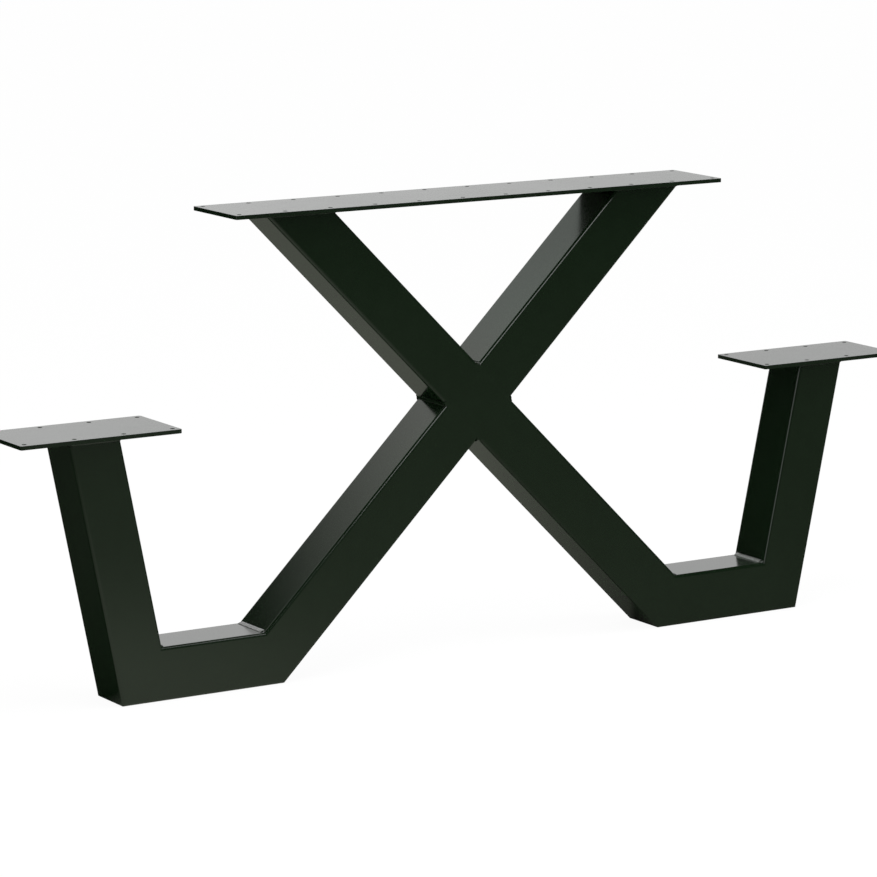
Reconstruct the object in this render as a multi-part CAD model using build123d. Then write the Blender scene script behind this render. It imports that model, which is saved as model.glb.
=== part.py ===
from build123d import *
import os
from math import acos, cos, hypot, radians, sin, sqrt, tan

# One end frame of a picnic table, welded from square steel tube and flat steel plate.
# Two diagonal tubes cross and carry the table top. Each stands on a short base tube, and an
# upright that leans outwards rises from each base tube to carry a seat.
# Millimetres. The origin is on the floor, under the middle of the frame. +X runs along the
# frame, +Y through its depth from the front to the back, and +Z up.

# Square tube
tube_side = 80.0
tube_wall = 3.0
tube_corner_radius = 5.0

# Heights from the floor to the top faces of the plates
table_height = 700.0
seat_height = 401.0

# Where the outer and inner faces of the feet meet the floor, measured from the middle
foot_outer_reach = 605.0
foot_inner_reach = 336.0

# Directions of the tubes in degrees: off the vertical, and above the horizontal
upright_lean = 11.6
diagonal_rise = 44.7

# Plates, and their holes for the wood screws that hold the table top and the seats
plate_thickness = 6.0
plate_depth = 127.0
plate_corner_radius = 3.0
top_plate_length = 854.0
seat_plate_length = 256.0
screw_hole_diameter = 7.0
screw_hole_margin = 10.5
top_plate_columns = 12
seat_plate_columns = 4

# Welds: the beads' legs, how far their faces bulge, and the blunt toe of the beads under plates
crossing_bead_leg = 5.5
plate_bead_leg = 4.5
foot_bead_leg = 4.5
foot_bead_setback = 4.0
bead_crown = 0.3
plate_bead_toe = 0.4

# Radii to which the mitred corners that meet the floor are ground
outer_corner_grind = 3.0
inner_corner_grind = 7.0

# Sizes that follow
half_side = tube_side / 2
bore_side = tube_side - 2 * tube_wall
bore_corner_radius = tube_corner_radius - tube_wall
top_underside = table_height - plate_thickness
seat_underside = seat_height - plate_thickness
screw_row_spacing = plate_depth - 2 * screw_hole_margin
stock_length = 4 * max(table_height, foot_outer_reach)


# Points and directions in the plane of the frame are pairs, (x, z)
def step(point, direction, distance):
    return (point[0] + direction[0] * distance, point[1] + direction[1] * distance)


def backwards(direction):
    return (-direction[0], -direction[1])


def left_of(direction):
    return (-direction[1], direction[0])


def other_side(pair):
    """The same point or direction on the other side of the middle."""
    return (-pair[0], pair[1])


def dot(direction_a, direction_b):
    return direction_a[0] * direction_b[0] + direction_a[1] * direction_b[1]


def between(direction_a, direction_b):
    """The unit direction halfway between two."""
    total = (direction_a[0] + direction_b[0], direction_a[1] + direction_b[1])
    length = hypot(*total)
    return (total[0] / length, total[1] / length)


def meeting_point(point_a, direction_a, point_b, direction_b):
    """Where two lines cross."""
    gap = (point_b[0] - point_a[0], point_b[1] - point_a[1])
    across_b = left_of(direction_b)
    return step(point_a, direction_a, dot(gap, across_b) / dot(direction_a, across_b))


def in_space(pair):
    return Vector(pair[0], 0, pair[1])


# Directions of the right-hand tubes, from the foot upwards
along_base = (1.0, 0.0)
along_upright = (sin(radians(upright_lean)), cos(radians(upright_lean)))
along_diagonal = (-cos(radians(diagonal_rise)), sin(radians(diagonal_rise)))

# The right-hand foot: its corners on the floor, the tubes' centre lines, and the crotches where
# their upper faces meet the top of the base tube
outer_corner = (foot_outer_reach, 0.0)
inner_corner = (foot_inner_reach, 0.0)
above_upright = left_of(along_upright)
above_diagonal = backwards(left_of(along_diagonal))
base_axis = (0.0, half_side)
upright_axis = step(outer_corner, above_upright, half_side)
diagonal_axis = step(inner_corner, above_diagonal, half_side)
base_top = (0.0, tube_side)
outer_crotch = meeting_point(
    base_top, along_base, step(upright_axis, above_upright, half_side), along_upright
)
inner_crotch = meeting_point(
    base_top, along_base, step(diagonal_axis, above_diagonal, half_side), along_diagonal
)

# The tops of the tubes, and the crossing of the diagonals
seat_joint = meeting_point((0.0, seat_underside), along_base, upright_axis, along_upright)
top_joint = meeting_point((0.0, top_underside), along_base, diagonal_axis, along_diagonal)
crossing = meeting_point((0.0, 0.0), (0.0, 1.0), diagonal_axis, along_diagonal)


def stock_tube(axis_point, direction, bored=True):
    """A length of tube along a centre line, much longer than the frame needs."""
    start = step(axis_point, direction, -stock_length / 2)
    end_plane = Plane(origin=in_space(start), x_dir=(0, 1, 0), z_dir=in_space(direction))
    section = RectangleRounded(tube_side, tube_side, tube_corner_radius)
    if bored:
        section -= RectangleRounded(bore_side, bore_side, bore_corner_radius)
    return extrude(end_plane * section, amount=stock_length)


def saw(tube, point, keep_towards):
    """Cut through the point, square to a direction, and keep what lies that way."""
    blade = Plane(origin=in_space(point), x_dir=(0, 1, 0), z_dir=in_space(keep_towards))
    return split(tube, bisect_by=blade, keep=Keep.TOP)


def saw_mitre(tube, corner, crotch, keep_towards):
    """Cut along the line from a corner to its crotch, and keep the side that a tube runs to."""
    across = left_of((crotch[0] - corner[0], crotch[1] - corner[1]))
    if dot(across, keep_towards) < 0:
        across = backwards(across)
    return saw(tube, corner, across)


def across_depth(edges, half_length):
    """A solid from a closed outline in the plane of the frame, to both sides of the middle."""
    return extrude(Face(Wire(edges)), amount=half_length, dir=(0, 1, 0), both=True)


def outline(*corners):
    """Straight edges from corner to corner."""
    points = [in_space(corner) for corner in corners]
    return [Edge.make_line(a, b) for a, b in zip(points, points[1:])]


def curve(start, middle, end):
    return Edge.make_three_point_arc(in_space(start), in_space(middle), in_space(end))


def grinding(corner, face_a, face_b, radius):
    """What is ground off the sharp corner between two faces that run from it."""
    half_angle = acos(dot(face_a, face_b)) / 2
    inwards = between(face_a, face_b)
    reach = radius / tan(half_angle)
    start = step(corner, face_a, reach)
    end = step(corner, face_b, reach)
    deepest = step(corner, inwards, radius / sin(half_angle) - radius)
    clear_start = step(start, inwards, -radius)
    clear_end = step(end, inwards, -radius)
    clear_corner = step(corner, inwards, -radius)
    edges = [curve(start, deepest, end)] + outline(end, clear_end, clear_corner, clear_start, start)
    return across_depth(edges, tube_side)


def bead(crotch, face_a, face_b, leg, half_length, root_depth=0.0):
    """A weld bead in a crotch: legs on the two faces that run from it, and a face that bulges.
    A root depth takes it on behind the faces, into the rounded edges of the tubes."""
    outwards = between(face_a, face_b)
    toe_a = step(crotch, face_a, leg)
    toe_b = step(crotch, face_b, leg)
    middle = ((toe_a[0] + toe_b[0]) / 2, (toe_a[1] + toe_b[1]) / 2)
    root = step(crotch, outwards, -root_depth)
    edges = [curve(toe_a, step(middle, outwards, bead_crown), toe_b)] + outline(toe_b, root, toe_a)
    return across_depth(edges, half_length)


outer_corner_grinding = grinding(
    outer_corner, along_upright, backwards(along_base), outer_corner_grind
)
inner_corner_grinding = grinding(inner_corner, along_diagonal, along_base, inner_corner_grind)


def base_tube():
    tube = stock_tube(base_axis, along_base)
    tube = saw_mitre(tube, outer_corner, outer_crotch, backwards(along_base))
    tube = saw_mitre(tube, inner_corner, inner_crotch, along_base)
    return tube - outer_corner_grinding - inner_corner_grinding


def upright():
    tube = stock_tube(upright_axis, along_upright)
    tube = saw_mitre(tube, outer_corner, outer_crotch, along_upright)
    tube = saw(tube, seat_joint, (0.0, -1.0))
    return tube - outer_corner_grinding


def diagonal():
    """The diagonal that rises from the right-hand foot to the left."""
    tube = stock_tube(diagonal_axis, along_diagonal)
    tube = saw_mitre(tube, inner_corner, inner_crotch, along_diagonal)
    tube = saw(tube, top_joint, (0.0, -1.0))
    return tube - inner_corner_grinding


def half_diagonals():
    """The diagonal from the left-hand foot, sawn to butt against both faces of the other."""
    tube = mirror_image(diagonal())
    lower = saw(tube, step(crossing, above_diagonal, -half_side), backwards(above_diagonal))
    upper = saw(tube, step(crossing, above_diagonal, half_side), above_diagonal)
    return lower, upper


def plate(length, centre, underside, columns):
    """A flat bar with a row of screw holes along each long edge."""
    pitch = (length - 2 * screw_hole_margin) / (columns - 1)
    bar = RectangleRounded(length, plate_depth, plate_corner_radius)
    bar -= GridLocations(pitch, screw_row_spacing, columns, 2) * Circle(screw_hole_diameter / 2)
    return Pos(centre, 0, underside) * extrude(bar, amount=plate_thickness)


def foot_weld(crotch, face_a, face_b, neighbours):
    """A bead across the flat of a foot's crotch, which stops at the tubes' rounded edges."""
    weld = bead(crotch, face_a, face_b, foot_bead_leg, half_side - foot_bead_setback)
    for neighbour in neighbours:
        weld -= neighbour
    return weld


def crossing_weld(side):
    """The weld round the end of a half diagonal, below (-1) or above (1) the through one. It has
    a bead in each crotch, and fills the groove over the through tube's rounded edges level
    with the front and the back."""
    along_half = other_side(along_diagonal)
    out_of_face = (side * above_diagonal[0], side * above_diagonal[1])
    face_centre = step(crossing, out_of_face, half_side)
    through_tube = stock_tube(diagonal_axis, along_diagonal, bored=False)
    half_tube = stock_tube(crossing, along_half, bored=False)
    half_tube = saw(half_tube, face_centre, out_of_face)

    groove_middle = step(face_centre, out_of_face, -tube_corner_radius / 2)
    groove_plane = Plane(
        origin=in_space(groove_middle), x_dir=in_space(along_diagonal), z_dir=(0, 1, 0)
    )
    groove_face = Rectangle(tube_side + 2 * crossing_bead_leg, tube_corner_radius)
    weld = extrude(groove_plane * groove_face, amount=half_side, both=True)
    for edge in (-1, 1):
        edge_of_half = step(crossing, left_of(along_half), edge * half_side)
        crotch = meeting_point(edge_of_half, along_half, face_centre, along_diagonal)
        up_half = (side * along_half[0], side * along_half[1])
        off_half = (edge * along_diagonal[0], edge * along_diagonal[1])
        weld += bead(crotch, up_half, off_half, crossing_bead_leg, half_side, tube_corner_radius)
    return weld - through_tube - half_tube


def plate_weld(joint, direction):
    """The fillet bead round the top of a tube, under its plate."""
    tube_width = tube_side / direction[1]
    toe_centre = step(joint, direction, -plate_bead_leg / direction[1])

    def ring_outline(centre, margin):
        """The tube's level section with a margin, its corners cut along the rounded ones."""
        corner_cut = (tube_corner_radius + margin) * (2 - sqrt(2))
        section = Rectangle(tube_width + 2 * margin, tube_side + 2 * margin)
        return Pos(in_space(centre)) * chamfer(section.vertices(), corner_cut)

    on_tube = ring_outline(toe_centre, plate_bead_toe)
    on_plate = ring_outline(joint, plate_bead_leg)
    ring = loft([on_tube.face(), on_plate.face()], ruled=True)
    return ring - stock_tube(joint, direction, bored=False)


def mirror_image(solid):
    return mirror(solid, about=Plane.YZ)


def paired_nodes():
    """The pieces that the frame has on both sides, as the right-hand ones."""
    base = stock_tube(base_axis, along_base, bored=False)
    leaning = stock_tube(upright_axis, along_upright, bored=False)
    rising = stock_tube(diagonal_axis, along_diagonal, bored=False)
    return {
        "seat_plate": plate(
            seat_plate_length, seat_joint[0], seat_underside, seat_plate_columns
        ),
        "base_tube": base_tube(),
        "upright": upright(),
        "seat_weld": plate_weld(seat_joint, along_upright),
        "top_weld": plate_weld(other_side(top_joint), other_side(along_diagonal)),
        "foot_weld_outer": foot_weld(
            outer_crotch, backwards(along_base), along_upright, (base, leaning)
        ),
        "foot_weld_inner": foot_weld(inner_crotch, along_base, along_diagonal, (base, rising)),
    }


def all_nodes():
    nodes = {
        "top_plate": plate(top_plate_length, 0, top_underside, top_plate_columns),
        "diagonal_through": diagonal(),
        "crossing_weld_lower": crossing_weld(-1),
        "crossing_weld_upper": crossing_weld(1),
    }
    nodes["diagonal_lower_half"], nodes["diagonal_upper_half"] = half_diagonals()
    for name, solid in paired_nodes().items():
        nodes[name + "_right"] = solid
        nodes[name + "_left"] = mirror_image(solid)
    return nodes


os.makedirs("parts", exist_ok=True)
for node_name, node_solid in all_nodes().items():
    node_solid.label = node_name
    export_step(node_solid, "parts/" + node_name + ".step")
    print(node_name, len(node_solid.solids()), round(node_solid.volume, 1))
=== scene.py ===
from math import cos, pi, radians, sin

import bmesh
import bpy
from mathutils import Matrix, Vector


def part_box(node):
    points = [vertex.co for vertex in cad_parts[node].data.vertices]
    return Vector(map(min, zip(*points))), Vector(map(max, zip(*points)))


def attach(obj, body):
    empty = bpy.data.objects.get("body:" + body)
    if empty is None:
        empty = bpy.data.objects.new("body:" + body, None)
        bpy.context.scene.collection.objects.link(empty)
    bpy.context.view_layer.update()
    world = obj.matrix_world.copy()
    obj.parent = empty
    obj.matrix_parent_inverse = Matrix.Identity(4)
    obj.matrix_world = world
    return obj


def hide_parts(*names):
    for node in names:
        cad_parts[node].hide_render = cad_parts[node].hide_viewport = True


# One end frame of a picnic table in black powder-coated steel. Metres, in the frame of the CAD
# part: the floor is z = 0, +X runs along the frame, +Y to its back, and +Z up.

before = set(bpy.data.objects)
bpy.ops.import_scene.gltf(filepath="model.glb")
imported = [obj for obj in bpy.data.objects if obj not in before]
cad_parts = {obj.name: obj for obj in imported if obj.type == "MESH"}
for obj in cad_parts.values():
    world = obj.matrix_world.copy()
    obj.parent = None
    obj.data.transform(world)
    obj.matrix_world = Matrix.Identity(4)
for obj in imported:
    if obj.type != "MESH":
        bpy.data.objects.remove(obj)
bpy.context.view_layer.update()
scene = bpy.context.scene

# Sizes of the frame, as the CAD part has them
TUBE_SIDE = 0.080
TUBE_CORNER_RADIUS = 0.005
FOOT_OUTER_REACH = 0.605
FOOT_INNER_REACH = 0.336
UPRIGHT_LEAN = radians(11.6)
DIAGONAL_RISE = radians(44.7)
PLATE_CORNER_RADIUS = 0.003
HOLE_DIAMETER = 0.007
HOLE_MARGIN = 0.0105
TOP_PLATE_COLUMNS = 12
SEAT_PLATE_COLUMNS = 4
CROSSING_BEAD_LEG = 0.0055
PLATE_BEAD_LEG = 0.0045
FOOT_BEAD_SETBACK = 0.004

# Sizes that only the visual model has
PLATE_SOFT_EDGE = 0.0013
PLATE_BEAD_WALL_LEG = 0.007
FOOT_BEAD_WALL_LEG = 0.0042
FOOT_BEAD_TOE_LEG = 0.0058
CROSSING_BEAD_SHARE = 0.55
CROSSING_BEAD_PROUD_OF_FRONT = 0.0006
CROSSING_BEAD_SHORT_OF_BACK = 0.0015
BUMP_DEPTH = 0.0002

HALF_SIDE = TUBE_SIDE / 2
SAME_POINT = 1e-6


# Points and directions in the plane of the frame are pairs, (x, z)
def step(point, direction, distance):
    return (point[0] + direction[0] * distance, point[1] + direction[1] * distance)


def scaled(direction, factor):
    return (direction[0] * factor, direction[1] * factor)


def left_of(direction):
    return (-direction[1], direction[0])


def dot(a, b):
    return a[0] * b[0] + a[1] * b[1]


def meeting_point(point_a, direction_a, point_b, direction_b):
    gap = (point_b[0] - point_a[0], point_b[1] - point_a[1])
    across_b = left_of(direction_b)
    return step(point_a, direction_a, dot(gap, across_b) / dot(direction_a, across_b))


def mirrored(pair, side):
    """The pair as it is on the right (1) or on the left (-1)."""
    return (pair[0] * side, pair[1])


def in_space(pair, depth=0.0):
    return Vector((pair[0], depth, pair[1]))


# Lines and points of the right half, as seen from the front. The through diagonal rises to the
# left, and the two halves of the other one to the right.
LEVEL = (1.0, 0.0)
VERTICAL = (0.0, 1.0)
BASE_TOP = (0.0, TUBE_SIDE)
ALONG_UPRIGHT = (sin(UPRIGHT_LEAN), cos(UPRIGHT_LEAN))
ALONG_DIAGONAL = (-cos(DIAGONAL_RISE), sin(DIAGONAL_RISE))
ALONG_HALVES = mirrored(ALONG_DIAGONAL, -1)
ABOVE_DIAGONAL = scaled(left_of(ALONG_DIAGONAL), -1)
UPRIGHT_AXIS = step((FOOT_OUTER_REACH, 0.0), left_of(ALONG_UPRIGHT), HALF_SIDE)
DIAGONAL_AXIS = step((FOOT_INNER_REACH, 0.0), ABOVE_DIAGONAL, HALF_SIDE)
UPRIGHT_INNER_SIDE = step(UPRIGHT_AXIS, left_of(ALONG_UPRIGHT), HALF_SIDE)
DIAGONAL_UPPER_SIDE = step(DIAGONAL_AXIS, ABOVE_DIAGONAL, HALF_SIDE)
OUTER_CROTCH = meeting_point(BASE_TOP, LEVEL, UPRIGHT_INNER_SIDE, ALONG_UPRIGHT)
INNER_CROTCH = meeting_point(BASE_TOP, LEVEL, DIAGONAL_UPPER_SIDE, ALONG_DIAGONAL)
CROSSING = meeting_point((0.0, 0.0), VERTICAL, DIAGONAL_AXIS, ALONG_DIAGONAL)


class Tree:
    """Builds a node tree: add() makes a node, and links or sets each of its inputs."""

    def __init__(self, tree):
        self.tree = tree

    def put(self, node, slot, value):
        socket = node.inputs[slot]
        if isinstance(value, bpy.types.NodeSocket):
            self.tree.links.new(value, socket)
        else:
            socket.default_value = value

    def add(self, kind, inputs=None, **settings):
        node = self.tree.nodes.new(kind)
        for name, value in settings.items():
            setattr(node, name, value)
        for slot, value in (inputs or {}).items():
            self.put(node, slot, value)
        return node

    def join(self, *parts):
        node = self.tree.nodes.new("GeometryNodeJoinGeometry")
        for part in parts:
            self.tree.links.new(part, node.inputs[0])
        return node

    def math(self, operation, *values, clamp=False):
        node = self.add("ShaderNodeMath", dict(enumerate(values)), operation=operation)
        node.use_clamp = clamp
        return node.outputs[0]

    def vector(self, operation, *values):
        node = self.tree.nodes.new("ShaderNodeVectorMath")
        node.operation = operation
        for slot, value in enumerate(values):
            self.put(node, "Scale" if operation == "SCALE" and slot == 1 else slot, value)
        return node.outputs["Vector"]

    def scaled_sum(self, start, *pairs):
        """start + vector * value for each pair."""
        total = start
        for vector, value in pairs:
            total = self.vector("ADD", total, self.vector("SCALE", vector, value))
        return total

    def weighted(self, first, first_share, second, second_share):
        first = self.math("MULTIPLY", first, first_share)
        return self.math("ADD", first, self.math("MULTIPLY", second, second_share))

    def ramp(self, value, span, results):
        """Runs from one result to the other while the value crosses the span, level beyond it."""
        (low, high), (at_low, at_high) = span, results
        inputs = {"From Min": low, "From Max": high, "To Min": at_low, "To Max": at_high}
        return self.add("ShaderNodeMapRange", {"Value": value, **inputs}).outputs[0]

    def place(self):
        """x, y and z of the shaded spot in its object's own axes."""
        position = self.add("ShaderNodeTexCoord").outputs["Object"]
        split = self.add("ShaderNodeSeparateXYZ", {0: position})
        return split.outputs[0], split.outputs[1], split.outputs[2]


def new_tree(name, kind, sockets_in, sockets_out):
    tree = bpy.data.node_groups.new(name, kind)
    for in_out, sockets in (("INPUT", sockets_in), ("OUTPUT", sockets_out)):
        for socket_name, socket_kind, default in sockets:
            socket = tree.interface.new_socket(
                name=socket_name, in_out=in_out, socket_type="NodeSocket" + socket_kind
            )
            if default is not None:
                socket.default_value = default
    given = tree.nodes.new("NodeGroupInput").outputs
    result = tree.nodes.new("NodeGroupOutput").inputs
    return Tree(tree), given, result


def end_in_material(t, geometry, material, result):
    whole = t.add("GeometryNodeRealizeInstances", {0: geometry})
    coated = {"Geometry": whole.outputs[0], "Material": material}
    finish = t.add("GeometryNodeSetMaterial", coated)
    t.tree.links.new(finish.outputs[0], result["Geometry"])


# Coats


def coat_surface_group():
    """Powder coat: a fine orange peel, broad soft changes in how dull it dries, and its colour."""
    t, given, result = new_tree(
        "coat_surface",
        "ShaderNodeTree",
        [
            ("Position", "Vector", None),
            ("Deep Colour", "Color", None),
            ("Pale Colour", "Color", None),
            ("Roughness", "Float", None),
            ("Roughness Change", "Float", None),
            ("Peel Size", "Float", None),
            ("Speck Size", "Float", 0.0006),
        ],
        [("Colour", "Color", None), ("Roughness", "Float", None), ("Height", "Float", None)],
    )
    middle = 0.5
    usual_span = (0.3, 0.7)
    mottle_to_swing = 4.0
    speck_share = 0.25

    def noise(size, detail):
        inputs = {"Vector": given["Position"], "Scale": t.math("DIVIDE", 1.0, size)}
        return t.add("ShaderNodeTexNoise", {**inputs, "Detail": detail}).outputs[0]

    broad = noise(size=0.16, detail=2.0)
    cloud = noise(size=0.022, detail=3.0)
    peel = noise(size=given["Peel Size"], detail=1.0)
    speck = noise(size=given["Speck Size"], detail=0.0)
    mottle = t.weighted(broad, 0.6, cloud, 0.4)
    speckle = t.math("MULTIPLY", t.math("SUBTRACT", speck, middle), speck_share)
    share = t.ramp(t.math("ADD", mottle, speckle), usual_span, (0.0, 1.0))
    # Sockets 0, 6 and 7 of a colour mix are its factor, A and B, and output 2 is the colour
    colours = {0: share, 6: given["Deep Colour"], 7: given["Pale Colour"]}
    mix = t.add("ShaderNodeMix", colours, data_type="RGBA")
    t.tree.links.new(mix.outputs[2], result["Colour"])
    swing = t.math("MULTIPLY", t.math("SUBTRACT", mottle, middle), mottle_to_swing)
    rough = t.math("MULTIPLY_ADD", swing, given["Roughness Change"], given["Roughness"])
    t.tree.links.new(rough, result["Roughness"])
    t.tree.links.new(t.weighted(peel, 0.8, speck, 0.2), result["Height"])
    return t.tree


COAT_SURFACE = coat_surface_group()


def coat_material(name, deep, pale, roughness, roughness_change, peel_size, bump, ior=1.6):
    material = bpy.data.materials.new(name)
    material.use_nodes = True
    t = Tree(material.node_tree)
    shader = material.node_tree.nodes["Principled BSDF"]
    surface = t.add(
        "ShaderNodeGroup",
        {
            "Position": t.add("ShaderNodeTexCoord").outputs["Object"],
            "Deep Colour": (*deep, 1),
            "Pale Colour": (*pale, 1),
            "Roughness": roughness,
            "Roughness Change": roughness_change,
            "Peel Size": peel_size,
        },
        node_tree=COAT_SURFACE,
    )
    bumps = t.add(
        "ShaderNodeBump",
        {"Strength": bump, "Distance": BUMP_DEPTH, "Height": surface.outputs["Height"]},
    )
    t.put(shader, "Base Color", surface.outputs["Colour"])
    t.put(shader, "Roughness", surface.outputs["Roughness"])
    t.put(shader, "Normal", bumps.outputs[0])
    t.put(shader, "IOR", ior)
    return material


TUBE_COAT = coat_material(
    "tube_coat",
    deep=(0.0037, 0.0104, 0.0036),
    pale=(0.0053, 0.0132, 0.0051),
    roughness=0.165,
    roughness_change=0.015,
    peel_size=0.0022,
    bump=0.02,
)
PLATE_COAT = coat_material(
    "plate_coat",
    deep=(0.0037, 0.0104, 0.0036),
    pale=(0.0053, 0.0132, 0.0051),
    roughness=0.23,
    roughness_change=0.015,
    peel_size=0.002,
    bump=0.03,
)
WELD_COAT = coat_material(
    "weld_coat",
    deep=(0.0038, 0.0106, 0.0037),
    pale=(0.0060, 0.0140, 0.0058),
    roughness=0.165,
    roughness_change=0.02,
    peel_size=0.0012,
    bump=0.04,
)
# Paler than the tube coat: a painted sheen on the foot beads. The high IOR makes them mirror more,
# as real reflection.
FOOT_WELD_COAT_PAINTED_SHEEN = coat_material(
    "foot_weld_coat_painted_sheen",
    deep=(0.0050, 0.0106, 0.0049),
    pale=(0.0090, 0.0160, 0.0088),
    roughness=0.2,
    roughness_change=0.03,
    peel_size=0.0012,
    bump=0.05,
    ior=2.4,
)
# Paler than the tube coat: painted light on the beads under the plates. The rougher finish is real.
RING_COAT_PAINTED_LIGHT = coat_material(
    "ring_weld_coat_painted_light",
    deep=(0.0070, 0.0125, 0.0070),
    pale=(0.0110, 0.0180, 0.0110),
    roughness=0.4,
    roughness_change=0.03,
    peel_size=0.0012,
    bump=0.05,
)


# Geometry node trees


def weld_bead_tree():
    """A fillet bead along a path in a crotch. Its toes lie on the face that it is laid on and up
    the wall beside it, and its face bulges and is rippled."""
    t, given, result = new_tree(
        "weld_bead",
        "GeometryNodeTree",
        [
            ("Geometry", "Geometry", None),
            ("Floor Normal", "Vector", None),
            ("Wall Direction", "Vector", None),
            ("Wall Leg", "Float", None),
            ("Toe Leg", "Float", None),
            ("Crown", "Float", None),
            ("Ripple Pitch", "Float", None),
            ("Ripple Height", "Float", None),
            ("Ripple Bend", "Float", 0.6),
            ("Unevenness", "Float", 0.1),
            ("End Taper", "Float", 0.0),
            ("Seed", "Float", None),
            ("Finish", "Material", None),
        ],
        [("Geometry", "Geometry", None)],
    )
    # The profile's points run over the face from the wall to the toe, and the last is the root
    points_round = 14
    last_on_face = points_round - 2.0
    any_radius = 0.001
    steps_per_ripple = 8.0
    ripple_wander = 0.35
    toe_sink = 0.00015
    root_depth = 0.0003
    end_reach = 1e-5
    least_taper = 1e-6
    just_over_one = 1.0001

    path = t.add("GeometryNodeMeshToCurve", {0: given["Geometry"]}).outputs[0]
    spacing = t.math("DIVIDE", given["Ripple Pitch"], steps_per_ripple)
    resample = t.add(
        "GeometryNodeResampleCurve", {"Curve": path, "Length": spacing}, mode="LENGTH"
    )
    capture = t.add("GeometryNodeCaptureAttribute", domain="POINT")
    captured = (
        ("centre", "VECTOR", t.add("GeometryNodeInputPosition").outputs[0]),
        ("tangent", "VECTOR", t.add("GeometryNodeInputTangent").outputs[0]),
        ("along", "FLOAT", t.add("GeometryNodeSplineParameter").outputs["Length"]),
        ("total", "FLOAT", t.add("GeometryNodeSplineLength").outputs["Length"]),
    )
    for name, kind, value in captured:
        capture.capture_items.new(kind, name)
    for name, kind, value in captured:
        t.put(capture, name, value)
    t.put(capture, "Geometry", resample.outputs[0])
    centre, tangent, along, total = (capture.outputs[name] for name, kind, value in captured)
    ring = t.add(
        "GeometryNodeCurvePrimitiveCircle",
        {"Resolution": points_round, "Radius": any_radius},
        mode="RADIUS",
    )
    count = t.add("GeometryNodeCaptureAttribute", domain="POINT")
    count.capture_items.new("FLOAT", "place")
    t.put(count, "Geometry", ring.outputs[0])
    t.put(count, "place", t.add("GeometryNodeInputIndex").outputs[0])
    place = count.outputs["place"]
    sweep = t.add(
        "GeometryNodeCurveToMesh",
        {
            "Curve": capture.outputs["Geometry"],
            "Profile Curve": count.outputs["Geometry"],
            "Fill Caps": True,
        },
    )

    wall = t.vector("NORMALIZE", given["Wall Direction"])
    toe = t.vector("NORMALIZE", t.vector("CROSS_PRODUCT", tangent, given["Floor Normal"]))
    outwards = t.vector("NORMALIZE", t.vector("ADD", wall, toe))
    across = t.math("DIVIDE", place, last_on_face, clamp=True)
    rest = t.math("SUBTRACT", 1.0, across)
    is_root = t.math("GREATER_THAN", place, last_on_face + 0.5)
    on_face = t.math("SUBTRACT", 1.0, is_root)
    arch = t.math("MULTIPLY", t.math("MULTIPLY", across, rest), 4.0)

    def noise(size, shift):
        """Runs along the bead, mostly between -1 and 1."""
        seed = t.math("ADD", given["Seed"], shift)
        spot = t.vector("ADD", centre, t.add("ShaderNodeCombineXYZ", {0: seed}).outputs[0])
        inputs = {"Vector": spot, "Scale": 1.0 / size, "Detail": 1.0}
        value = t.add("ShaderNodeTexNoise", inputs).outputs[0]
        return t.math("MULTIPLY", t.math("SUBTRACT", value, 0.5), 2.0)

    def quarter_round(value):
        """1 at 0, falling to 0 at 1 and at -1 as a circle does."""
        square = t.math("MULTIPLY", value, value)
        return t.math("SQRT", t.math("SUBTRACT", just_over_one, square))

    nearest_end = t.math("MINIMUM", along, t.math("SUBTRACT", total, along))
    taper_length = t.math("MAXIMUM", given["End Taper"], least_taper)
    reach = t.math("DIVIDE", t.math("ADD", nearest_end, end_reach), taper_length, clamp=True)
    taper = quarter_round(t.math("SUBTRACT", 1.0, reach))

    def uneven(leg, swing):
        share = t.math("MULTIPLY_ADD", swing, given["Unevenness"], 1.0)
        return t.math("MULTIPLY", t.math("MULTIPLY", leg, taper), share)

    wall_leg = uneven(given["Wall Leg"], noise(size=0.011, shift=3.0))
    toe_leg = uneven(given["Toe Leg"], noise(size=0.009, shift=7.0))

    whole_ripples = t.math("ROUND", t.math("DIVIDE", total, given["Ripple Pitch"]))
    ripples = t.math("MAXIMUM", whole_ripples, 1.0)
    phase = t.math("MULTIPLY", t.math("DIVIDE", along, total), ripples)
    phase = t.math("ADD", phase, t.math("MULTIPLY", arch, given["Ripple Bend"]))
    wander = t.math("MULTIPLY", noise(size=0.006, shift=11.0), ripple_wander)
    phase = t.math("ADD", phase, wander)
    scallop = quarter_round(t.math("MULTIPLY_ADD", t.math("FRACT", phase), 2.0, -1.0))
    ripple = t.math("MULTIPLY", scallop, given["Ripple Height"])
    ripple = t.math("MULTIPLY", ripple, t.math("SQRT", arch))
    rise = t.math("ADD", t.math("MULTIPLY", arch, given["Crown"]), ripple)
    sink = t.math("MULTIPLY", t.math("SUBTRACT", 1.0, arch), toe_sink)
    rise = t.math("MULTIPLY", t.math("SUBTRACT", rise, sink), taper)
    out = t.math("MULTIPLY", rise, on_face)
    surface = t.scaled_sum(
        centre,
        (wall, t.math("MULTIPLY", t.math("MULTIPLY", wall_leg, rest), on_face)),
        (toe, t.math("MULTIPLY", t.math("MULTIPLY", toe_leg, across), on_face)),
        (outwards, t.math("SUBTRACT", out, t.math("MULTIPLY", is_root, root_depth))),
    )
    moved = t.add(
        "GeometryNodeSetPosition", {"Geometry": sweep.outputs[0], "Position": surface}
    )
    smooth = t.add("GeometryNodeSetShadeSmooth", {"Geometry": moved.outputs[0]})
    end_in_material(t, smooth.outputs[0], given["Finish"], result)
    return t.tree


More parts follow.
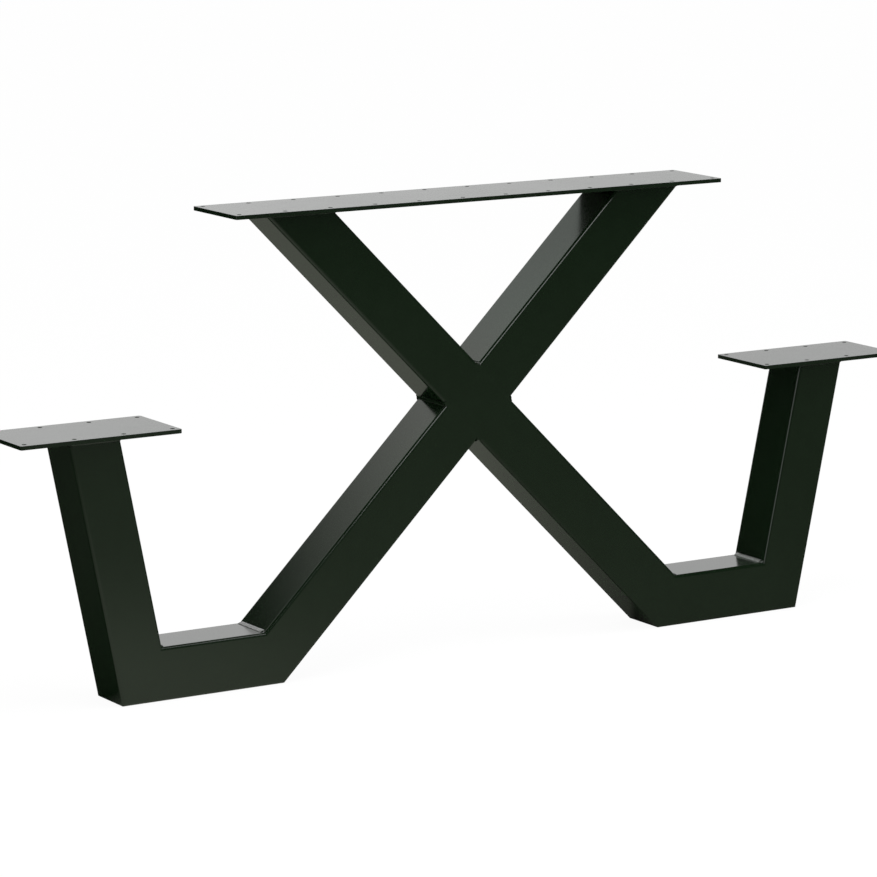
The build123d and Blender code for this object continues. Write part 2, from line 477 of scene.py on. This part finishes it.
def screw_plate_tree():
    """A flat bar with a row of screw holes along each long edge."""
    t, given, result = new_tree(
        "screw_plate",
        "GeometryNodeTree",
        [
            ("Geometry", "Geometry", None),
            ("Length", "Float", None),
            ("Depth", "Float", None),
            ("Thickness", "Float", None),
            ("Corner Radius", "Float", None),
            ("Hole Diameter", "Float", None),
            ("Hole Margin", "Float", None),
            ("Columns", "Int", None),
            ("Underside Centre", "Vector", None),
            ("Finish", "Material", None),
        ],
        [("Geometry", "Geometry", None)],
    )
    corner_points = 5
    hole_points = 28
    seam = 1e-5

    outline = t.add(
        "GeometryNodeCurvePrimitiveQuadrilateral",
        {"Width": given["Length"], "Height": given["Depth"]},
    )
    rounded = t.add(
        "GeometryNodeFilletCurve",
        {"Curve": outline.outputs[0], "Count": corner_points, "Radius": given["Corner Radius"]},
        mode="POLY",
    )
    margins = t.math("MULTIPLY", given["Hole Margin"], 2.0)
    spots = t.add(
        "GeometryNodeMeshGrid",
        {
            "Size X": t.math("SUBTRACT", given["Length"], margins),
            "Size Y": t.math("SUBTRACT", given["Depth"], margins),
            "Vertices X": given["Columns"],
            "Vertices Y": 2,
        },
    )
    circle = t.add(
        "GeometryNodeCurvePrimitiveCircle",
        {"Resolution": hole_points, "Radius": t.math("DIVIDE", given["Hole Diameter"], 2.0)},
        mode="RADIUS",
    )
    holes = t.add(
        "GeometryNodeInstanceOnPoints",
        {"Points": spots.outputs[0], "Instance": circle.outputs[0]},
    )
    loose_holes = t.add("GeometryNodeRealizeInstances", {0: holes.outputs[0]})
    loops = t.join(loose_holes.outputs[0], rounded.outputs[0])
    sheet = t.add("GeometryNodeFillCurve", {0: loops.outputs[0]}, mode="NGONS")
    thick = t.add(
        "GeometryNodeExtrudeMesh",
        {
            "Mesh": sheet.outputs[0],
            "Offset": t.add("ShaderNodeCombineXYZ", {2: given["Thickness"]}).outputs[0],
            "Offset Scale": 1.0,
            "Individual": False,
        },
        mode="FACES",
    )
    under = t.add("GeometryNodeFlipFaces", {0: sheet.outputs[0]})
    shell = t.join(under.outputs[0], thick.outputs[0])
    closed = t.add("GeometryNodeMergeByDistance", {0: shell.outputs[0], "Distance": seam})
    placed = t.add(
        "GeometryNodeTransform",
        {"Geometry": closed.outputs[0], "Translation": given["Underside Centre"]},
    )
    end_in_material(t, placed.outputs[0], given["Finish"], result)
    return t.tree


WELD_BEAD = weld_bead_tree()
SCREW_PLATE = screw_plate_tree()


# Pieces


def new_object(name, data):
    made = bpy.data.objects.new(name, data)
    scene.collection.objects.link(made)
    return made


def plain_mesh(holder):
    """The holder's evaluated shape as a mesh of its own, and the holder gone."""
    bpy.context.view_layer.update()
    graph = bpy.context.evaluated_depsgraph_get()
    mesh = bpy.data.meshes.new_from_object(holder.evaluated_get(graph))
    name = holder.name
    old = holder.data
    bpy.data.objects.remove(holder)
    bpy.data.meshes.remove(old)
    mesh.name = name
    return mesh


def grown(name, tree, values, path=((), ())):
    """The plain mesh that a geometry node tree makes from a path of points and edges."""
    points, edges = path
    seed_mesh = bpy.data.meshes.new(name + "_path")
    seed_mesh.from_pydata([tuple(point) for point in points], list(edges), [])
    holder = new_object(name, seed_mesh)
    modifier = holder.modifiers.new(name, "NODES")
    modifier.node_group = tree
    for item in tree.interface.items_tree:
        if item.in_out == "INPUT" and item.name in values:
            modifier[item.identifier] = values[item.name]
    return plain_mesh(holder)


def shell_faces_outwards(mesh):
    work = bmesh.new()
    work.from_mesh(mesh)
    bmesh.ops.remove_doubles(work, verts=work.verts, dist=SAME_POINT)
    bmesh.ops.recalc_face_normals(work, faces=work.faces)
    work.to_mesh(mesh)
    work.free()


def piece(name, mesh, stands_for=()):
    """A finished piece of the frame, which rides on its one body."""
    made = new_object(name, mesh)
    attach(made, "root")
    if stands_for:
        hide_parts(*stands_for)


def bead_piece(name, path, floor_normal, wall_direction, values, stands_for=()):
    directions = {
        "Floor Normal": tuple(floor_normal),
        "Wall Direction": tuple(wall_direction),
    }
    mesh = grown(name, WELD_BEAD, {**directions, **values}, path)
    shell_faces_outwards(mesh)
    piece(name, mesh, stands_for)


def straight_path(pair, ends):
    return [in_space(pair, depth) for depth in ends], [(0, 1)]


def level_ring(joint, direction):
    """The outline of a leaning tube where a level plane cuts it, anticlockwise from above."""
    corner_steps = 8
    inner = HALF_SIDE - TUBE_CORNER_RADIUS
    points = []
    for turn, (corner_u, corner_v) in enumerate(
        ((inner, inner), (-inner, inner), (-inner, -inner), (inner, -inner))
    ):
        for part in range(corner_steps + 1):
            angle = pi / 2 * (turn + part / corner_steps)
            u = corner_u + TUBE_CORNER_RADIUS * cos(angle)
            v = corner_v + TUBE_CORNER_RADIUS * sin(angle)
            points.append(Vector((joint[0] + u / direction[1], v, joint[1])))
    edges = [(n, (n + 1) % len(points)) for n in range(len(points))]
    return points, edges


def foot_beads():
    reach = HALF_SIDE - FOOT_BEAD_SETBACK
    for side, word, seed in ((-1, "left", 10.0), (1, "right", 20.0)):
        for crotch, wall, end, shift in (
            (OUTER_CROTCH, ALONG_UPRIGHT, "outer", 0.0),
            (INNER_CROTCH, ALONG_DIAGONAL, "inner", 4.0),
        ):
            # The path runs so that the toe lies towards the middle of the base tube's top
            backwards = (end == "inner") == (side == 1)
            ends = (-reach, reach) if backwards else (reach, -reach)
            bead_piece(
                f"foot_weld_{end}_{word}_bead",
                straight_path(mirrored(crotch, side), ends),
                (0, 0, 1),
                in_space(mirrored(wall, side)),
                {
                    "Wall Leg": FOOT_BEAD_WALL_LEG,
                    "Toe Leg": FOOT_BEAD_TOE_LEG,
                    "Crown": 0.0003,
                    "Ripple Pitch": 0.0036,
                    "Ripple Height": 0.0005,
                    "End Taper": 0.005,
                    "Seed": seed + shift,
                    "Finish": FOOT_WELD_COAT_PAINTED_SHEEN,
                },
                (f"foot_weld_{end}_{word}",),
            )


def ring_beads():
    for side, word, seed in ((-1, "left", 30.0), (1, "right", 40.0)):
        # A diagonal's top is on the other side than its foot
        for node, plate, axis, along, foot_side in (
            ("seat_weld", f"seat_plate_{word}", UPRIGHT_AXIS, ALONG_UPRIGHT, side),
            ("top_weld", "top_plate", DIAGONAL_AXIS, ALONG_DIAGONAL, -side),
        ):
            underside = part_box(plate)[0].z
            direction = mirrored(along, foot_side)
            joint = meeting_point(
                (0.0, underside), LEVEL, mirrored(axis, foot_side), direction
            )
            bead_piece(
                f"{node}_{word}_bead",
                level_ring(joint, direction),
                (0, 0, 1),
                -in_space(direction),
                {
                    "Wall Leg": PLATE_BEAD_WALL_LEG,
                    "Toe Leg": PLATE_BEAD_LEG,
                    "Crown": 0.0004,
                    "Ripple Pitch": 0.0024,
                    "Ripple Height": 0.00025,
                    "Seed": seed,
                    "Finish": RING_COAT_PAINTED_LIGHT,
                },
                (f"{node}_{word}",),
            )


def slimmer(node, crotches, share):
    """A copy of a weld whose metal in each crotch (corner, wall, toe) is drawn in to a share."""
    in_crotch = -1e-5
    work = bmesh.new()
    work.from_mesh(node.data)
    work.transform(node.matrix_world)
    bmesh.ops.remove_doubles(work, verts=work.verts, dist=SAME_POINT)
    for point in work.verts:
        for corner, wall, toe in crotches:
            off = (point.co.x - corner[0], point.co.z - corner[1])
            up_wall, off_wall = dot(off, wall), dot(off, toe)
            if up_wall > in_crotch and off_wall > in_crotch:
                place = step(step(corner, wall, up_wall * share), toe, off_wall * share)
                point.co = in_space(place, point.co.y)
                break
    mesh = bpy.data.meshes.new(node.name + "_metal")
    work.to_mesh(mesh)
    work.free()
    mesh.materials.append(WELD_COAT)
    mesh.shade_smooth()
    mesh.set_sharp_from_angle(angle=radians(30))
    return mesh


def crossing_beads():
    """The welds of the crossing, with a rippled bead in each of its four crotches."""
    front = -HALF_SIDE - CROSSING_BEAD_PROUD_OF_FRONT
    back = HALF_SIDE - CROSSING_BEAD_SHORT_OF_BACK
    leg = CROSSING_BEAD_LEG * CROSSING_BEAD_SHARE
    for half, half_word in ((-1, "lower"), (1, "upper")):
        out = scaled(ABOVE_DIAGONAL, half)
        face_centre = step(CROSSING, out, HALF_SIDE)
        up_half = scaled(ALONG_HALVES, half)
        crotches = []
        for edge, edge_word in ((-1, "a"), (1, "b")):
            edge_of_half = step(CROSSING, left_of(ALONG_HALVES), edge * HALF_SIDE)
            crotch = meeting_point(edge_of_half, ALONG_HALVES, face_centre, ALONG_DIAGONAL)
            off_half = scaled(ALONG_DIAGONAL, edge)
            crotches.append((crotch, up_half, off_half))
            # The path runs so that its tangent x the face's normal points away from the half
            away = Vector((0, 1, 0)).cross(in_space(out)).dot(in_space(off_half))
            bead_piece(
                f"crossing_weld_{half_word}_bead_{edge_word}",
                straight_path(crotch, (front, back) if away > 0 else (back, front)),
                in_space(out),
                in_space(up_half),
                {
                    "Wall Leg": leg,
                    "Toe Leg": leg,
                    "Crown": 0.00025,
                    "Ripple Pitch": 0.0028,
                    "Ripple Height": 0.0001,
                    "Unevenness": 0.05,
                    "End Taper": 0.003,
                    "Seed": 50.0 + 3 * half + edge,
                    "Finish": WELD_COAT,
                },
            )
        node = f"crossing_weld_{half_word}"
        metal = slimmer(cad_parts[node], crotches, CROSSING_BEAD_SHARE)
        piece(node + "_metal", metal, (node,))


def plate_piece(node, columns):
    low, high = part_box(node)
    name = node + "_steel"
    mesh = grown(
        name,
        SCREW_PLATE,
        {
            "Length": high.x - low.x,
            "Depth": high.y - low.y,
            "Thickness": high.z - low.z,
            "Corner Radius": PLATE_CORNER_RADIUS,
            "Hole Diameter": HOLE_DIAMETER,
            "Hole Margin": HOLE_MARGIN,
            "Columns": columns,
            "Underside Centre": ((low.x + high.x) / 2, (low.y + high.y) / 2, low.z),
            "Finish": PLATE_COAT,
        },
    )
    shell_faces_outwards(mesh)
    mesh.shade_smooth()
    mesh.set_sharp_from_angle(angle=radians(35))
    holder = new_object(name, mesh)
    soft = holder.modifiers.new("soft_edge", "BEVEL")
    soft.width = PLATE_SOFT_EDGE
    soft.segments = 3
    soft.limit_method = "ANGLE"
    soft.angle_limit = radians(50)
    soft.harden_normals = True
    piece(name, plain_mesh(holder), (node,))


foot_beads()
ring_beads()
crossing_beads()
plate_piece("top_plate", TOP_PLATE_COLUMNS)
plate_piece("seat_plate_left", SEAT_PLATE_COLUMNS)
plate_piece("seat_plate_right", SEAT_PLATE_COLUMNS)

for name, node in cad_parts.items():
    coat = WELD_COAT if "weld" in name else TUBE_COAT
    node.data.materials.clear()
    node.data.materials.append(coat)


# Camera, as fitted to edges that were measured in the picture

PICTURE_SIDE_PIXELS = 877.0
FOCAL_LENGTH_PIXELS = 4074.0281
SENSOR_WIDTH = 36.0
CAMERA_PLACE = (-3.2697748, -5.0621433, 1.4583864)
CAMERA_YAW = radians(32.4968)
CAMERA_PITCH = radians(-10.6392)
CAMERA_ROLL = radians(0.1888)


def add_camera(yaw, pitch, roll):
    data = bpy.data.cameras.new("camera")
    data.sensor_width = SENSOR_WIDTH
    data.lens = SENSOR_WIDTH * FOCAL_LENGTH_PIXELS / PICTURE_SIDE_PIXELS
    data.clip_end = 100.0
    scene.camera = new_object("camera", data)
    forward = Vector((sin(yaw) * cos(pitch), cos(yaw) * cos(pitch), sin(pitch)))
    right = Vector((cos(yaw), -sin(yaw), 0.0))
    up = right.cross(forward)
    camera_x = right * cos(roll) + up * sin(roll)
    camera_y = up * cos(roll) - right * sin(roll)
    turned = Matrix((camera_x, camera_y, -forward)).transposed().to_4x4()
    scene.camera.matrix_world = Matrix.Translation(CAMERA_PLACE) @ turned


add_camera(CAMERA_YAW, CAMERA_PITCH, CAMERA_ROLL)
scene.view_settings.view_transform = "Standard"


# Studio

WHITE = (1, 1, 1)
WHITE_FLOOR_HEIGHT = -0.0005
GREY_FLOOR_HEIGHT = -0.0003
CEILING_HEIGHT = 2.7
STRIP_HEIGHT = 2.68
DARK_FLAG = 0.03


def seen_by_eye(t):
    """1 for rays from the camera, a mirror or glass, and 0 for light that falls on things."""
    path = t.add("ShaderNodeLightPath")
    seen = t.math("ADD", path.outputs["Is Camera Ray"], path.outputs["Is Glossy Ray"])
    return t.math("ADD", seen, path.outputs["Is Transmission Ray"], clamp=True)


def white_world(light_level):
    """White to the eye, and dimmer as a light."""
    world = bpy.data.worlds.new("studio")
    scene.world = world
    world.use_nodes = True
    t = Tree(world.node_tree)
    background = world.node_tree.nodes["Background"]
    t.put(background, "Color", (*WHITE, 1))
    t.put(background, "Strength", t.ramp(seen_by_eye(t), (0.0, 1.0), (light_level, 1.0)))


def stage_sheet(name, corners, material):
    mesh = bpy.data.meshes.new(name)
    mesh.from_pydata(corners, [], [(0, 1, 2, 3)])
    mesh.materials.append(material)
    sheet = new_object(name, mesh)
    return sheet


def level_corners(low, high, height):
    (x0, y0), (x1, y1) = low, high
    return [(x0, y0, height), (x1, y0, height), (x1, y1, height), (x0, y1, height)]


def white_floor(shadow_share, glow):
    """A white floor that the eye sees as white, with a share of the object's shadow kept."""
    material = bpy.data.materials.new("white_floor")
    material.use_nodes = True
    t = Tree(material.node_tree)
    shader = material.node_tree.nodes["Principled BSDF"]
    t.put(shader, "Base Color", (0.95, 0.95, 0.95, 1))
    t.put(shader, "Roughness", 0.9)
    t.put(shader, "Specular IOR Level", 0.0)
    light = t.add("ShaderNodeEmission", {"Color": (*WHITE, 1), "Strength": glow})
    share = t.math("MULTIPLY", seen_by_eye(t), 1.0 - shadow_share)
    mix = t.add("ShaderNodeMixShader", {0: share, 1: shader.outputs[0], 2: light.outputs[0]})
    t.put(material.node_tree.nodes["Material Output"], "Surface", mix.outputs[0])
    stage_sheet("floor", level_corners((-30, -30), (30, 30), WHITE_FLOOR_HEIGHT), material)


def flag(name, corners, brightness, colour=WHITE):
    """A studio flag or card: the coat mirrors it, and it throws no light and no shadow."""
    material = bpy.data.materials.new(name)
    material.use_nodes = True
    material.cycles.emission_sampling = "NONE"
    t = Tree(material.node_tree)
    material.node_tree.nodes.remove(material.node_tree.nodes["Principled BSDF"])
    strength = brightness(t) if callable(brightness) else brightness
    glow = t.add("ShaderNodeEmission", {"Color": (*colour, 1), "Strength": strength})
    t.put(material.node_tree.nodes["Material Output"], "Surface", glow.outputs[0])
    sheet = stage_sheet(name, corners, material)
    sheet.visible_camera = False
    sheet.visible_diffuse = False
    sheet.visible_transmission = False
    sheet.visible_volume_scatter = False
    sheet.visible_shadow = False


def level_flag(name, low, high, height, brightness, colour=WHITE):
    flag(name, level_corners(low, high, height), brightness, colour)


def standing_flag(name, start, end, top, brightness, colour=WHITE, foot=0.0):
    """An upright flag from one (x, y) to another, on the floor unless its foot is higher."""
    corners = [(*start, foot), (*end, foot), (*end, top), (*start, top)]
    flag(name, corners, brightness, colour)


def back_flag_brightness(t):
    """Dark low down, and as white as the studio at its top."""
    _, _, z = t.place()
    return t.ramp(z, (0.93, 1.46), (0.0, 1.0))


def back_card_brightness(t):
    """White, brighter at its left end, which the left foot and seat plate mirror, and higher up."""
    x, _, z = t.place()
    across = t.ramp(x, (2.0, 4.4), (1.19, 1.0))
    return t.math("ADD", across, t.ramp(z, (3.0, 4.4), (0.0, 0.8)))


def sky_card_brightness(t):
    """Brighter at its left, which the upper diagonal mirrors near the crossing."""
    x, _, _ = t.place()
    return t.ramp(x, (-1.9, -0.1), (1.5, 0.35))


def grey_floor_brightness(t):
    """How bright the studio's grey floor is, as the coat mirrors it: a pool of light in front of
    the left foot, a painted shadow of the frame just behind it and where its feet stand, and dark
    at the back on the left."""
    x, y, _ = t.place()

    def square(value, centre, spread):
        """The square of how many spreads the value is off the centre."""
        off = t.math("DIVIDE", t.math("SUBTRACT", value, centre), spread)
        return t.math("MULTIPLY", off, off)

    def bell(peak, squares):
        return t.math("MULTIPLY", t.math("EXPONENT", t.math("MULTIPLY", squares, -1.0)), peak)

    pool_squares = t.math(
        "ADD", square(x, centre=-0.60, spread=0.49), square(y, centre=-0.21, spread=0.79)
    )
    pool = bell(0.30, pool_squares)
    band = bell(0.073, square(x, centre=0.107, spread=0.96))
    everywhere = 0.079
    front = t.math("ADD", t.math("ADD", pool, band), everywhere)
    front = t.math("MULTIPLY", front, t.ramp(y, (-3.6, -2.9), (0.25, 1.0)))
    # Painted shadow: the floor behind is darker close to the frame, as if in the frame's shadow
    back = t.ramp(y, (0.05, 0.50), (0.065, 0.214))
    back = t.math("MULTIPLY", back, t.ramp(x, (-0.62, -0.30), (0.14, 1.0)))
    behind = t.ramp(y, (-0.02, 0.02), (0.0, 1.0))
    whole = t.weighted(front, t.math("SUBTRACT", 1.0, behind), back, behind)
    # Painted shadow: the floor is darker where the frame's feet stand and just beside them
    painted_foot_shadow = t.ramp(t.math("ABSOLUTE", y), (0.022, 0.042), (0.2, 1.0))
    return t.math("MULTIPLY", whole, painted_foot_shadow)


def soft_lamp(name, place, aim, side, watts):
    """A square lamp that lights the frame and shows in no reflection."""
    data = bpy.data.lights.new(name, "AREA")
    data.shape = "RECTANGLE"
    data.size = data.size_y = side
    data.energy = watts
    lamp = new_object(name, data)
    lamp.location = place
    lamp.rotation_euler = (Vector(aim) - lamp.location).to_track_quat("-Z", "Y").to_euler()
    lamp.visible_glossy = False


white_world(light_level=0.65)
white_floor(shadow_share=0.07, glow=1.02)
level_flag(
    "grey_floor", (-8, -8), (8, 8), GREY_FLOOR_HEIGHT, grey_floor_brightness, (1.03, 1.08, 0.91)
)
standing_flag("front_flag", (-5.0, -4.2), (6.5, -4.2), 2.2, DARK_FLAG)
standing_flag(
    "back_flag", (-0.25, 1.7), (-2.8, 0.3), 1.65, back_flag_brightness, (1.0, 1.02, 0.96)
)
standing_flag("back_card", (0.0, 6.0), (6.5, 6.0), 5.2, back_card_brightness)
standing_flag(
    "sky_card", (-6.0, 6.1), (0.0, 6.1), 7.0, sky_card_brightness, (1.0, 1.09, 1.01), foot=2.7
)
standing_flag("right_flag", (3.5, -5.0), (3.5, 1.5), CEILING_HEIGHT, DARK_FLAG)
level_flag("ceiling_flag", (-5.0, -5.0), (5.0, 2.1), CEILING_HEIGHT, 0.0)
level_flag("left_strip", (-1.4, -3.5), (0.3, -1.75), STRIP_HEIGHT, 3.2)
level_flag("right_strip", (1.0, -2.6), (1.9, -0.6), STRIP_HEIGHT, 1.6)
soft_lamp("soft_top", place=(0.1, -0.55, 2.6), aim=(0.1, -0.4, 0.4), side=1.2, watts=31.0)
soft_lamp("soft_front", place=(1.5, -4.0, 1.5), aim=(0.0, 0.0, 0.4), side=2.5, watts=27.0)
